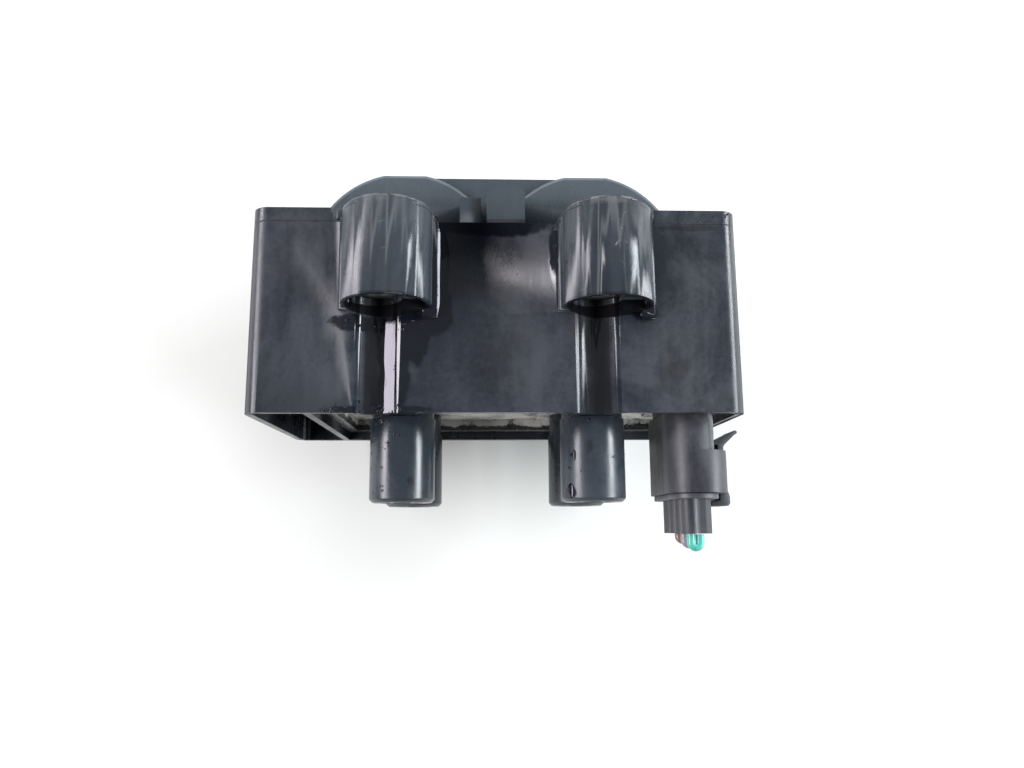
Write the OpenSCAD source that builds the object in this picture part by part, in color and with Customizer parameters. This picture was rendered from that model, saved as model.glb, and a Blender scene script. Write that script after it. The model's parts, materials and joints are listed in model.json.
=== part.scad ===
// Ignition coil pack with four high-tension towers and a plugged-in low-voltage connector.
// Frame: the origin is the centre of the four mounting bolts on the mounting plane. +Y points out of
// the mounting face, the towers point to -Y, +X runs along the case and +Z is up as the pack lies.

/* [Case] */
// Length of the case
case_w = 112; // [105:1:135]
// Depth of the case between its two long walls
case_d = 58; // [52:0.5:72]
// Height of the case from its open rim to its base face
case_h = 44; // [42:0.5:56]
// Thickness of the side walls and of the partition
wall = 1.8; // [1.4:0.1:2.4]
// Thickness of the base
base_wall = 2.4; // [2:0.1:3]
// Radius of the four upright corners
corner_r = 4; // [3:0.5:6]
// Distance from the mounting plane back to the base face
base_drop = 1.7; // [1:0.1:3]
// How far the case's middle lies from the bolt pattern's middle
case_shift = 2; // [0:0.1:4]
// Height of the raised base at both ends of the case
lip_h = 3.3; // [1:0.1:5]
// Length of the raised base at the left end
lip_left_w = 18.2; // [12:0.1:20]
// Length of the raised base at the right end
lip_right_w = 19.7; // [12:0.1:21]
// Depth of the empty pocket left of the partition
pocket_depth = 36; // [20:1:36]
// Depth of the resin's surface below the rim
resin_drop = 5.5; // [4:0.1:6]

/* [Domes and ribs] */
// Distance from the base face down to the domes' axis
dome_drop = 6.1; // [5:0.1:8]
// Thickness of the domes' skin
dome_wall = 2.1; // [1.8:0.1:2.4]
// Width of the bridge between the domes
bridge_w = 30; // [24:1:32]
// How much shorter the bridge is than the domes, at each end
bridge_back = 2; // [1:0.1:4]
// Width of the rounded block between the domes
block_w = 8.9; // [6:0.1:10]
// Height of the rounded block above the base face
block_rise = 9.4; // [6:0.1:12]
// Distance from the long wall to the rounded block
block_inset = 2.5; // [2:0.1:5]
// Width of the narrow web beside the block
web_w = 5; // [3:0.1:6]
// Height of the narrow web above the base face
web_rise = 8.1; // [5:0.1:9]
// Distance from the long wall to the narrow web
web_inset = 5; // [3:0.1:7]

/* [Mounting] */
// Distance between bolts along the case
bolt_spacing = 49.3; // [46:0.1:52]
// Distance from the long walls out to the bolt axes
bolt_out = 3; // [2.5:0.1:4]
// Radius of the bolt hole in the steel bushes
bolt_r = 3.25; // [2.6:0.05:3.5]
// Outer radius of the steel bushes
bush_r = 4.6; // [4.2:0.1:5]
// Radius of the bosses
boss_r = 10; // [9:0.1:11]
// Length of the bosses
boss_h = 22.2; // [18:0.1:24]
// How far the bosses' middle lies from the bolt axis
boss_shift = 2.15; // [0:0.05:2.5]
// Width of the flat pad behind each boss
pad_w = 22; // [20:0.1:24]
// Radius of the channels that let a driver reach the bolts
channel_r = 5.9; // [5:0.1:6.2]
// Thickness of the case behind a channel
channel_wall = 1.2; // [1:0.1:1.4]
// Depth of the recess in the bosses' inner ends
boss_recess = 2; // [1:0.1:2.5]
// Thickness of the bosses' skin round the recess
boss_wall = 1.3; // [1:0.1:2]

/* [Towers] */
// Outer radius of the towers
tower_r = 7.5; // [6.5:0.1:9.2]
// How far the towers stand to the right of the transformers' axes
tower_shift = 0.35; // [0:0.05:0.6]
// How far the towers stand out of the rim
tower_out = 19.3; // [15:0.1:24]
// Radius of the towers' sockets
socket_r = 5; // [4.2:0.1:5.4]
// Depth of the towers' sockets
socket_depth = 18; // [14:0.5:19]
// Length of the terminal pin in each socket
pin_stand = 8; // [5:0.5:9]
// Radius of the terminal pin in each socket
ht_pin_r = 2; // [1.5:0.1:2.5]

/* [Windings and core] */
// Outer radius of the secondary bobbins
winding_r = 18; // [17:0.1:21.6]
// Radial thickness of the primary windings
primary_t = 2.7; // [1.5:0.1:3]
// Width and height of the core's outer legs
leg_w = 11; // [9:0.1:11.4]
// Width of the core's centre leg
centre_leg_w = 7; // [5:0.1:8.4]
// Thickness of the core's two yokes
yoke_t = 8; // [6:0.1:9]
// Length of the air gap in each outer leg
air_gap = 0.4; // [0.2:0.1:0.8]
// Number of wound sections on each secondary bobbin
sections = 6; // [3:1:8]

/* [Connector] */
// Distance between neighbouring cavities
cavity_pitch = 5.8; // [5.4:0.1:7]
// Radius of the header's rounded ends
header_r = 5; // [4.8:0.1:6]
// How far the header stands out of the rim
header_out = 9; // [8:0.1:10]
// Thickness of the header's shell
header_wall = 1.1; // [0.8:0.1:1.3]
// Thickness of the plug's sleeve
sleeve_wall = 0.95; // [0.8:0.05:1.1]
// Distance from the rim out to the shoulder of the plug's collar
collar_out = 8; // [7:0.1:9]
// Distance from the rim out to the end of the plug's body
body_out = 17.5; // [16:0.1:20]
// Distance from the rim out to the ends of the wire tubes
tube_out = 26.6; // [22:0.1:30]
// Outer radius of the wire tubes
tube_r = 2.2; // [2:0.1:2.4]
// Radius of the wires
wire_r = 0.95; // [0.7:0.05:1]
// Width of the latch
latch_w = 9; // [6:0.1:10]
// Thickness of the latch's arm
latch_t = 1.3; // [1:0.1:1.5]

/* [Fits] */
// Gap between the resin and what it surrounds
cast_gap = 0.05; // [0.03:0.01:0.1]
// Gap between a steel bush and its boss
bush_gap = 0.02; // [0.01:0.01:0.05]
// Gap between the windings and the domes' skin
dome_gap = 2.6; // [2:0.1:3.5]
// Gap between the windings and the domes' flat tops
dome_top_gap = 4; // [3:0.1:4.5]
// Gap between the bobbins' ends and the domes' ends
dome_end_gap = 0.6; // [0.5:0.1:1.5]
// Gap between the windings and the partition
partition_gap = 1; // [0.5:0.1:1.6]
// Gap between the windings and the core's centre leg
leg_gap = 0.6; // [0.4:0.1:1]
// Gap between the bobbins' ends and the core's yokes
bobbin_gap = 0.5; // [0.3:0.1:0.8]
// Gap between the core and the case's base
core_gap = 0.2; // [0.15:0.05:0.5]
// Gap between the core's yokes and the backs of the bosses
yoke_gap = 1.1; // [0.6:0.1:2]
// Gap between the towers and the walls of the driver channels
tower_gap = 0.45; // [0.15:0.05:1]
// Gap between the plug's sleeve and the right wall
side_gap = 3; // [1.5:0.1:4]
// Gap between the plug's sleeve and the front wall
front_gap = 0.7; // [0.5:0.1:3]
// Radial gap between the plug and the header
plug_gap = 0.15; // [0.1:0.01:0.25]
// Radial gap of the latch's pivot
pivot_gap = 0.06; // [0.03:0.01:0.1]

/* [Hidden] */
$fn = 64;
SIDES = ["left", "right"];
ENDS = ["front", "rear"];
WIRES = ["green", "grey", "brown"];

moulding = "#414953";
steel = "#9aa0a6";
brass = "#c9a24a";
copper = "#b5622e";
bobbin = "#d8cfb4";

// Case levels and walls
base_y = -base_drop;
rim_y = base_y - case_h;
lip_y = base_y + lip_h;
cavity_y = base_y - base_wall;
case_x = case_shift;
left_x = case_x - case_w / 2;
right_x = case_x + case_w / 2;
half_d = case_d / 2;
inner_z = half_d - wall;
resin_y = rim_y + resin_drop;
dish_in = 2.6;
meniscus = 3.2;

// Mounting
bolt_z = half_d + bolt_out;
boss_chamfer = 0.8;
pad_t = 1.2;
pad_drop = 0.5;
pad_lug_w = 3.2;
pad_lug_drop = 2.1;
seat_depth = 3;
boss_back_z = bolt_z - bush_r - 1.5;
boss_back_w = 2 * bush_r + 4;

// Transformers
leg_corner_r = leg_w / 2 * sqrt(2);
bobbin_r = leg_corner_r + 0.2;
bobbin_t = 1;
flange_t = 0.8;
wound_gap = 0.05;
primary_r = bobbin_r + bobbin_t + primary_t;
secondary_r = primary_r + 0.5;
secondary_drop = 0.8;
winding_y = cavity_y - core_gap - leg_w / 2;
winding_len = 2 * (boss_back_z - yoke_gap - yoke_t - bobbin_gap);
yoke_in_z = winding_len / 2 + bobbin_gap;
yoke_z = yoke_in_z + yoke_t;
shim_gap = 0.02;
coil_pitch = 2 * (winding_r + leg_gap) + centre_leg_w;
partition_x = case_x - coil_pitch / 2 - winding_r - partition_gap - wall / 2;

// Domes and ribs
dome_r = winding_r + dome_gap + dome_wall;
dome_y = base_y - dome_drop;
dome_top = winding_y + winding_r + dome_top_gap + dome_wall;
dome_z = winding_len / 2 + dome_end_gap + dome_wall;
bridge_z = dome_z - bridge_back;
block_corner = 1.4;
block_x = case_x + 2.2;
web_x = block_x - block_w / 2 - web_w / 2 - 1.4;

// Towers
tower_z = bolt_z - channel_r - channel_wall - tower_r - tower_gap;
tower_chamfer = 0.8;
tower_end_y = rim_y - tower_out;
root_step = 0.4;
root_r = tower_r - root_step;
tower_root_y = winding_y - winding_r - 0.3;
socket_floor_y = tower_end_y + socket_depth;
stem_r = ht_pin_r - 0.4;
stem_in = 0.1;
pin_head_r = socket_r - 0.8;
pin_head_t = 1.2;
pin_head_gap = 0.02;
pin_tip = 0.6;

// Connector
pins = 4;
row_len = (pins - 1) * cavity_pitch;
sleeve_in_r = header_r + plug_gap;
sleeve_r = sleeve_in_r + sleeve_wall;
row_x = right_x - wall - side_gap - sleeve_r;
row_z = inner_z - front_gap - sleeve_r - row_len / 2;
function cavity_z(i) = row_z + row_len / 2 - i * cavity_pitch;
wire_row_x = row_x - 1;
sleeve_y = rim_y + 1;
header_floor_y = rim_y - 0.6;
header_root_y = rim_y + 3.5;
root_h = 6;
root_top_y = header_root_y + root_h;
root_gap = 0.2;
root_left = 1.6;
root_back = 2.4;
header_end_y = rim_y - header_out;
collar_y = rim_y - collar_out;
body_y = rim_y - body_out;
tube_y = rim_y - tube_out;
nose_r = header_r - header_wall - plug_gap;
nose_y = rim_y - 1.6;
nose_tip_h = 5;
seal_t = 0.7;
seal_bite = 0.02;
collar_shift = 1.5;
guard_w = latch_w + 3.6;
arm_x = row_x + sleeve_r + 1.25;
guard_in_x = arm_x - 0.8;
guard_out_x = arm_x + latch_t;
slot_gap = 0.3;
pivot_x = arm_x + 0.35;
pivot_y = (collar_y + body_y) / 2;
pivot_r = 0.5;
pivot_out = 1;
nib_top_y = collar_y + 1.9;
nib_h = 1.3;
nib_w = 6;
nib_x = row_x + header_r + 1.4;
hook_x = nib_x - 0.9;
flange_y = body_y - 1.3;
lock_gap = 0.08;
foot_y = flange_y - 1.5;
nose_bead_r = 0.45;
blade_w = 1.6;
blade_t = 0.8;
blade_gap = 0.05;
tail_rise = 2;
tail_step = 2.4;
tail_len = 4;
socket_w = 2.4;
terminal_gap = 0.05;
crimp_h = 3;
guide_x = wire_row_x + tube_r - 0.6;
guide_w = 3.5;
guide_end = 1.6;
guide_chamfer = 2.4;
loop_r = 1.05;
tube_bore_r = tube_r - 0.5;
wire_gap = 0.02;
wire_leg_x = wire_row_x - 0.1;

function span(middle, width) = [middle - width / 2, middle + width / 2];

module block(x, y, z) {
    // A box given by its low and high coordinate on each axis
    translate([x[0], y[0], z[0]]) cube([x[1] - x[0], y[1] - y[0], z[1] - z[0]]);
}

module along_y(low, high) {
    // Extrudes an outline drawn in X and Z from one height to the other
    translate([0, high, 0]) rotate([90, 0, 0]) linear_extrude(high - low) children();
}

module rod(x, z, r, low, high) {
    translate([x, high, z]) rotate([90, 0, 0]) cylinder(r = r, h = high - low);
}

module round_rect(w, d, r) {
    square([w - 2 * r, d], center = true);
    square([w, d - 2 * r], center = true);
    for (sx = [-1, 1]) for (sz = [-1, 1])
        translate([sx * (w / 2 - r), sz * (d / 2 - r)]) circle(r = r);
}

module stadium(r, len) {
    square([2 * r, len], center = true);
    for (end = [-1, 1]) translate([0, end * len / 2]) circle(r = r);
}

module header_outline(r) {
    translate([row_x, row_z]) stadium(r, row_len);
}

module tube_z(outer, inner, len) {
    difference() {
        cylinder(r = outer, h = len, center = true);
        cylinder(r = inner, h = len + 1, center = true);
    }
}

module at_bolts() {
    for (sx = [-1, 1]) for (sz = [-1, 1])
        translate([sx * bolt_spacing / 2, 0, 0]) scale_z(sz) children();
}

module scale_z(sign) {
    if (sign > 0) children();
    else mirror([0, 0, 1]) children();
}

module at_coil(side) {
    translate([case_x + (side == "left" ? -1 : 1) * coil_pitch / 2, 0, 0]) children();
}

module at_tower(side, end) {
    at_coil(side) translate([tower_shift, 0, (end == "front" ? 1 : -1) * tower_z]) children();
}

// Case

module dome(r, half, top) {
    intersection() {
        cylinder(r = r, h = 2 * half, center = true);
        translate([0, top - 2 * r, 0]) cube([3 * r, 4 * r, 3 * half], center = true);
        block([-r - 1, r + 1], [dome_drop - base_wall - 0.5, 3 * r], [-half - 1, half + 1]);
    }
}

module domes(shrink = 0) {
    for (side = SIDES) at_coil(side) translate([0, dome_y, 0])
        dome(dome_r - shrink, dome_z - shrink, dome_top - dome_y - shrink);
    block(span(case_x, bridge_w), [cavity_y - 0.5, dome_top - shrink],
        [-bridge_z + shrink, bridge_z - shrink]);
}

module base_ribs() {
    for (sz = [-1, 1]) scale_z(sz) {
        difference() {
            block(span(block_x, block_w), [base_y - 1, base_y + block_rise],
                [0, half_d - block_inset]);
            for (sx = [-1, 1]) translate([block_x + sx * block_w / 2, base_y + block_rise, 0])
                rotate([0, 0, 45]) cube([block_corner, block_corner, case_d + 1], center = true);
        }
        block(span(web_x, web_w), [base_y - 1, base_y + web_rise], [0, half_d - web_inset]);
    }
}

module case_skin() {
    along_y(rim_y, base_y) translate([case_x, 0]) round_rect(case_w, case_d, corner_r);
    intersection() {
        along_y(base_y - 1, lip_y) translate([case_x, 0]) round_rect(case_w, case_d, corner_r);
        union() {
            block([left_x - 1, left_x + lip_left_w], [base_y - 2, lip_y + 1], [-case_d, case_d]);
            block([right_x - lip_right_w, right_x + 1], [base_y - 2, lip_y + 1], [-case_d, case_d]);
        }
    }
    domes();
    base_ribs();
}

module boss() {
    translate([boss_shift, 0, 0]) {
        along_y(-boss_h, -boss_chamfer) {
            translate([0, bolt_z]) circle(r = boss_r);
            translate([0, (bolt_z + half_d - 1) / 2]) square([2 * boss_r, bolt_z - half_d + 1], center = true);
        }
        translate([0, -boss_chamfer, bolt_z]) rotate([-90, 0, 0])
            cylinder(r1 = boss_r, r2 = boss_r - boss_chamfer, h = boss_chamfer);
        block([-boss_r + boss_chamfer, boss_r - boss_chamfer], [-boss_chamfer, 0], [half_d - 1, bolt_z]);
        block(span(0, pad_w), [-boss_h - pad_drop, -boss_chamfer], [half_d - 1, half_d + pad_t]);
        block([pad_w / 2 - pad_lug_w, pad_w / 2], [-boss_h - pad_lug_drop, -boss_h],
            [half_d - 1, half_d + pad_t]);
    }
}

module boss_hollow() {
    intersection() {
        rod(boss_shift, bolt_z, boss_r - boss_wall, -boss_h - 1, -boss_h + boss_recess);
        block([-pad_w, pad_w], [-boss_h - 2, 0], [half_d + pad_t, bolt_z + boss_r]);
    }
}

module inner_plan(gap) {
    translate([case_x, 0])
        round_rect(case_w - 2 * wall - 2 * gap, case_d - 2 * wall - 2 * gap, corner_r - wall);
}

module main_cavity(gap, low) {
    difference() {
        union() {
            intersection() {
                along_y(low, cavity_y - gap) inner_plan(gap);
                block([partition_x + wall / 2 + gap, right_x], [low - 1, 0], [-half_d, half_d]);
            }
            domes(dome_wall + gap);
        }
        at_bolts() {
            rod(0, bolt_z, channel_r + channel_wall + gap, rim_y - 2, -boss_h + seat_depth + 1 + gap);
            block([-boss_back_w / 2 - gap, boss_back_w / 2 + gap], [-boss_h - pad_drop, 1],
                [boss_back_z - gap, half_d + 1]);
        }
    }
}

module pocket() {
    intersection() {
        along_y(rim_y - 1, rim_y + pocket_depth) inner_plan(0);
        block([left_x, partition_x - wall / 2], [rim_y - 2, 0], [-half_d, half_d]);
    }
}

module case_shell() {
    color(moulding) difference() {
        union() {
            case_skin();
            at_bolts() boss();
        }
        main_cavity(0, rim_y - 1);
        pocket();
        at_bolts() {
            rod(0, bolt_z, channel_r, rim_y - 1, -boss_h + seat_depth);
            rod(0, bolt_z, bush_r + bush_gap, -boss_h, 1);
            boss_hollow();
        }
    }
}

module mounting_bushes() {
    color(steel) at_bolts() difference() {
        rod(0, bolt_z, bush_r, -boss_h + seat_depth, 0);
        rod(0, bolt_z, bolt_r, -boss_h, 1);
    }
}

// Transformers

module core_e() {
    color(steel) {
        core_slab(span(case_x, coil_pitch + leg_w), [yoke_in_z, yoke_z]);
        for (side = [-1, 1])
            core_slab(span(case_x + side * coil_pitch / 2, leg_w), [-yoke_in_z + air_gap, yoke_in_z + 1]);
        core_slab(span(case_x, centre_leg_w), [-yoke_in_z + shim_gap, yoke_in_z + 1]);
    }
}

module core_slab(x, z) {
    block([x[0], x[1]], [winding_y - leg_w / 2, winding_y + leg_w / 2], z);
}

module core_bar() {
    color(steel)
        core_slab(span(case_x, coil_pitch + leg_w), [-yoke_z, -yoke_in_z]);
}

module gap_shim(side) {
    color("ivory") at_coil(side)
        core_slab(span(0, leg_w), [-yoke_in_z + shim_gap, -yoke_in_z + air_gap - shim_gap]);
}

module primary_bobbin(side) {
    color(bobbin) at_coil(side) translate([0, winding_y, 0]) difference() {
        union() {
            cylinder(r = bobbin_r + bobbin_t, h = winding_len, center = true);
            for (end = [-1, 1]) translate([0, 0, end * (winding_len - bobbin_t) / 2])
                cylinder(r = primary_r, h = bobbin_t, center = true);
        }
        cylinder(r = bobbin_r, h = winding_len + 1, center = true);
    }
}

module primary_winding(side) {
    color(copper) at_coil(side) translate([0, winding_y, 0])
        tube_z(primary_r, bobbin_r + bobbin_t + wound_gap, winding_len - 2 * bobbin_t - 2 * wound_gap);
}

module secondary_bobbin(side) {
    pitch = (winding_len - flange_t) / sections;
    color(bobbin) at_coil(side) translate([0, winding_y, 0]) {
        tube_z(secondary_r + bobbin_t, secondary_r, winding_len);
        for (i = [0 : sections]) translate([0, 0, -winding_len / 2 + flange_t / 2 + i * pitch])
            tube_z(winding_r, secondary_r + bobbin_t / 2, flange_t);
    }
}

module secondary_winding(side) {
    pitch = (winding_len - flange_t) / sections;
    color("#8c3f22") at_coil(side) translate([0, winding_y, 0])
        for (i = [0 : sections - 1])
            translate([0, 0, -winding_len / 2 + flange_t + (pitch - flange_t) / 2 + i * pitch])
                tube_z(winding_r - secondary_drop, secondary_r + bobbin_t + wound_gap,
                    pitch - flange_t - 2 * wound_gap);
}

module tower(side, end) {
    color(moulding) at_tower(side, end) difference() {
        union() {
            rod(0, 0, tower_r, tower_end_y + tower_chamfer, rim_y);
            rod(0, 0, root_r, rim_y - 1, tower_root_y);
            translate([0, tower_end_y, 0]) rotate([-90, 0, 0])
                cylinder(r1 = tower_r - tower_chamfer, r2 = tower_r, h = tower_chamfer);
        }
        rod(0, 0, socket_r, tower_end_y - 1, socket_floor_y);
        rod(0, 0, stem_r + cast_gap, tower_end_y, tower_root_y + 1);
    }
}

module ht_terminal(side, end) {
    head_y = socket_floor_y - pin_head_gap;
    color(brass) at_tower(side, end) {
        rod(0, 0, pin_head_r, head_y - pin_head_t, head_y);
        rod(0, 0, ht_pin_r, socket_floor_y - pin_stand + pin_tip, head_y - pin_head_t);
        translate([0, socket_floor_y - pin_stand, 0]) rotate([-90, 0, 0])
            cylinder(r1 = ht_pin_r - pin_tip, r2 = ht_pin_r, h = pin_tip);
        rod(0, 0, stem_r, head_y - pin_head_t, tower_root_y + stem_in);
    }
}

// What the resin flows round, one part at a time, each larger than the part by the cast gap
module cast_in_parts(gap) {
    for (side = SIDES) {
        at_coil(side) translate([0, winding_y, 0])
            cylinder(r = winding_r + gap, h = winding_len + 2 * gap, center = true);
        at_coil(side) core_slab_out(span(0, leg_w), [-yoke_in_z - 1, yoke_in_z + 1], gap);
        for (end = ENDS) at_tower(side, end) {
            rod(0, 0, root_r + gap, rim_y - 1, tower_root_y + gap);
            rod(0, 0, stem_r + gap, tower_root_y - 1, tower_root_y + stem_in + gap);
        }
    }
    core_slab_out(span(case_x, centre_leg_w), [-yoke_in_z, yoke_in_z], gap);
    for (sz = [-1, 1]) scale_z(sz)
        core_slab_out(span(case_x, coil_pitch + leg_w),
            [yoke_in_z, yoke_z], gap);
    header_root(gap, rim_y - 1);
    for (i = [0 : len(WIRES) - 1]) pin_tail(i, gap);
}

module core_slab_out(x, z, gap) {
    block([x[0] - gap, x[1] + gap], [winding_y - leg_w / 2 - gap, winding_y + leg_w / 2 + gap],
        [z[0] - gap, z[1] + gap]);
}

module potting_resin() {
    color("#8f8b82") difference() {
        main_cavity(cast_gap, resin_y - meniscus);
        intersection() {
            along_y(resin_y - meniscus - 1, resin_y) translate([case_x, 0])
                round_rect(case_w - 2 * wall - 2 * dish_in, case_d - 2 * wall - 2 * dish_in, corner_r);
            block([partition_x + wall / 2 + dish_in, right_x], [rim_y - 2, resin_y], [-half_d, half_d]);
        }
        cast_in_parts(cast_gap);
    }
}

// Connector on the coil

module header_root(gap, low) {
    // The moulded block that holds the header in the corner of the case
    intersection() {
        along_y(low, root_top_y + gap) inner_plan(root_gap - gap);
        block([row_x - header_r - root_left - gap, right_x], [low - 1, 0],
            [row_z - row_len / 2 - header_r - root_back - gap, half_d]);
    }
}

module connector_header() {
    color(moulding) difference() {
        union() {
            header_root(0, header_root_y);
            along_y(header_end_y, header_root_y + 1) header_outline(header_r);
            block([row_x + header_r - 1, nib_x], [nib_top_y - nib_h, nib_top_y], span(row_z, nib_w));
        }
        along_y(header_end_y - 1, header_floor_y) header_outline(header_r - header_wall);
        for (i = [0 : len(WIRES) - 1])
            block(span(wire_row_x, blade_w + 2 * blade_gap), [rim_y - 1, root_top_y + 1],
                span(cavity_z(i), blade_t + 2 * blade_gap));
    }
}

module pin_tail(i, gap) {
    // The tail stands out of the header's root and turns towards the side wall, for the coils' wires
    tail_y = root_top_y + tail_rise + i * tail_step;
    block(span(wire_row_x, blade_w + 2 * gap), [root_top_y - 1, tail_y + blade_w + gap],
        span(cavity_z(i), blade_t + 2 * gap));
    block([wire_row_x, wire_row_x + tail_len + gap], [tail_y - gap, tail_y + blade_w + gap],
        span(cavity_z(i), blade_t + 2 * gap));
}

module header_pin(i) {
    color(brass) {
        block(span(wire_row_x, blade_w), [header_end_y + 2, root_top_y],
            span(cavity_z(i), blade_t));
        pin_tail(i, 0);
    }
}

// Plug

module plug_outline() {
    translate([row_x, row_z]) stadium(sleeve_r, row_len);
}

module collar_outline() {
    plug_outline();
    translate([row_x + collar_shift, row_z]) stadium(sleeve_r, row_len);
    translate([row_x + collar_shift / 2, row_z]) square([collar_shift, row_len + 2 * sleeve_r], center = true);
    translate([(row_x + guard_out_x) / 2, row_z]) square([guard_out_x - row_x, guard_w], center = true);
}

module plug_housing() {
    color("#4a4e57") difference() {
        union() {
            difference() {
                along_y(body_y, sleeve_y) plug_outline();
                along_y(header_end_y - 0.5, sleeve_y + 1) header_outline(sleeve_in_r);
                block([row_x + 2.5, row_x + 2 * sleeve_r], [collar_y, sleeve_y + 1],
                    span(row_z, 2 * row_len));
            }
            difference() {
                along_y(body_y, collar_y) collar_outline();
                along_y(header_end_y - 0.5, sleeve_y + 1) header_outline(sleeve_in_r);
            }
            along_y(header_end_y - 1, nose_y) header_outline(nose_r - seal_t);
            along_y(nose_y - nose_tip_h, nose_y) header_outline(nose_r);
            wire_guides();
        }
        // Slot and pivot bore for the latch
        block([guard_in_x, guard_out_x + 1], [body_y - 1, collar_y + 1],
            span(row_z, latch_w + 2 * slot_gap));
        block([row_x + sleeve_r - slot_gap, guard_out_x + 1], [pivot_y + 2, collar_y + 1],
            span(row_z, latch_w + 2 * slot_gap));
        translate([pivot_x, pivot_y, row_z])
            cylinder(r = pivot_r + pivot_gap, h = latch_w + 2 * pivot_out + 0.2, center = true);
        // Cavities for the terminals and bores for the wires
        for (i = [0 : len(WIRES) - 1]) {
            block(span(wire_row_x, socket_w + 2 * terminal_gap), [body_y + 1.5, nose_y + 1],
                span(cavity_z(i), socket_w + 2 * terminal_gap));
            rod(wire_row_x, cavity_z(i), tube_bore_r, tube_y - 1, body_y + 2);
        }
    }
}

module wire_guides() {
    for (i = [0 : pins - 1]) rod(wire_row_x, cavity_z(i), tube_r, tube_y, body_y + 0.5);
    difference() {
        block([guide_x, guide_x + guide_w], [tube_y, body_y + 0.5], span(row_z, row_len + guide_end));
        translate([guide_x + guide_w, tube_y - 1, row_z + (row_len + guide_end) / 2]) rotate([0, 45, 0])
            cube([guide_chamfer, 2 * (body_y - tube_y), guide_chamfer], center = true);
    }
}

module plug_seal() {
    color("#8a5a3c") difference() {
        along_y(header_end_y + 0.3, nose_y - nose_tip_h - 0.1) header_outline(nose_r + plug_gap / 2);
        along_y(header_end_y - 1, nose_y) header_outline(nose_r - seal_t + seal_bite);
    }
}

module plug_rear_lock() {
    color("#5b5f66") difference() {
        along_y(flange_y, body_y - lock_gap) {
            translate([row_x + 0.1, row_z]) stadium(sleeve_r - 0.7, row_len);
        }
        along_y(flange_y - 1, body_y + 1) {
            for (i = [0 : pins - 1]) translate([wire_row_x, cavity_z(i)]) circle(r = tube_r + lock_gap);
            translate([guide_x + guide_w / 2, row_z])
                square([guide_w + 2 * lock_gap, row_len + guide_end + 2 * lock_gap], center = true);
        }
    }
}

module plug_latch() {
    arm = [arm_x, arm_x + latch_t];
    color("#474b54") translate([0, 0, row_z - latch_w / 2]) {
        linear_extrude(latch_w) {
            // Arm from the thumb foot up to the hook
            polygon([
                [arm[0], foot_y + 1.3], [arm[0] - 2.1, foot_y + 0.9], [arm[0] - 2.1, foot_y],
                [arm[1] + 0.5, foot_y], [arm[1] + 1, foot_y + 0.6], [arm[1] + 1, foot_y + 2.2],
                [arm[1] + 0.35, foot_y + 4.2], [arm[1], pivot_y], [arm[1], collar_y + 1.4],
                [arm[1] + 0.25, nib_top_y + 0.1], [arm[1] + 2.5, nib_top_y + 2.2],
                [arm[1] + 3.3, nib_top_y + 2.9], [arm[1] + 2.8, nib_top_y + 3.4],
                [arm[0] - 0.35, nib_top_y + 1.25], [hook_x, nib_top_y + 1], [hook_x, nib_top_y + 0.1],
                [arm[0], nib_top_y + 0.1]]);
            translate([arm[1] + 3, nib_top_y + 3.1]) circle(r = nose_bead_r);
        }
        translate([pivot_x, pivot_y, latch_w / 2]) 
            cylinder(r = pivot_r, h = latch_w + 2 * pivot_out, center = true);
    }
}

// Wiring

module plug_terminal(i) {
    color(brass) difference() {
        block(span(wire_row_x, socket_w), [body_y + 1.6, nose_y - 0.4],
            span(cavity_z(i), socket_w));
        block(span(wire_row_x, blade_w + 4 * blade_gap), [header_end_y + 1.5, nose_y + 1],
            span(cavity_z(i), blade_t + 4 * blade_gap));
        rod(wire_leg_x, cavity_z(i), wire_r + wire_gap, body_y, body_y + 1.6 + crimp_h);
    }
}

module wire(i, drop) {
    // Up the tube to the terminal, and folded back under the tube's end
    bend_y = tube_y - drop;
    rod(wire_leg_x, cavity_z(i), wire_r, bend_y, body_y + 1.5 + crimp_h);
    rod(wire_leg_x + 2 * loop_r, cavity_z(i), wire_r, bend_y, tube_y - 0.15);
    translate([wire_leg_x + loop_r, bend_y, cavity_z(i)]) rotate([0, 0, 180])
        rotate_extrude(angle = 180, $fn = 32) translate([loop_r, 0]) circle(r = wire_r, $fn = 24);
}

module wire_seals() {
    color("#7d8a4d") for (i = [0 : len(WIRES) - 1]) difference() {
        rod(wire_row_x, cavity_z(i), tube_bore_r - wire_gap, tube_y + 3, tube_y + 7);
        rod(wire_leg_x, cavity_z(i), wire_r + wire_gap, tube_y, tube_y + 9);
    }
}

case_shell();  // case
potting_resin();
core_e();
core_bar();
mounting_bushes();
for (side = SIDES) {
    gap_shim(side);
    primary_bobbin(side);
    primary_winding(side);
    secondary_bobbin(side);
    secondary_winding(side);
    for (end = ENDS) {
        tower(side, end);
        ht_terminal(side, end);
    }
}
connector_header();
plug_housing();
plug_seal();
plug_rear_lock();
plug_latch();
wire_seals();
for (i = [0 : len(WIRES) - 1]) {
    header_pin(i);
    plug_terminal(i);
    color(["#39b39a", "#8a8490", "#7d675c"][i]) wire(i, [2, 1.5, 0.6][i]);
}
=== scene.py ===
import bpy
import bmesh
import json
import math
import random
from mathutils import Vector, Matrix, noise

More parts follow.
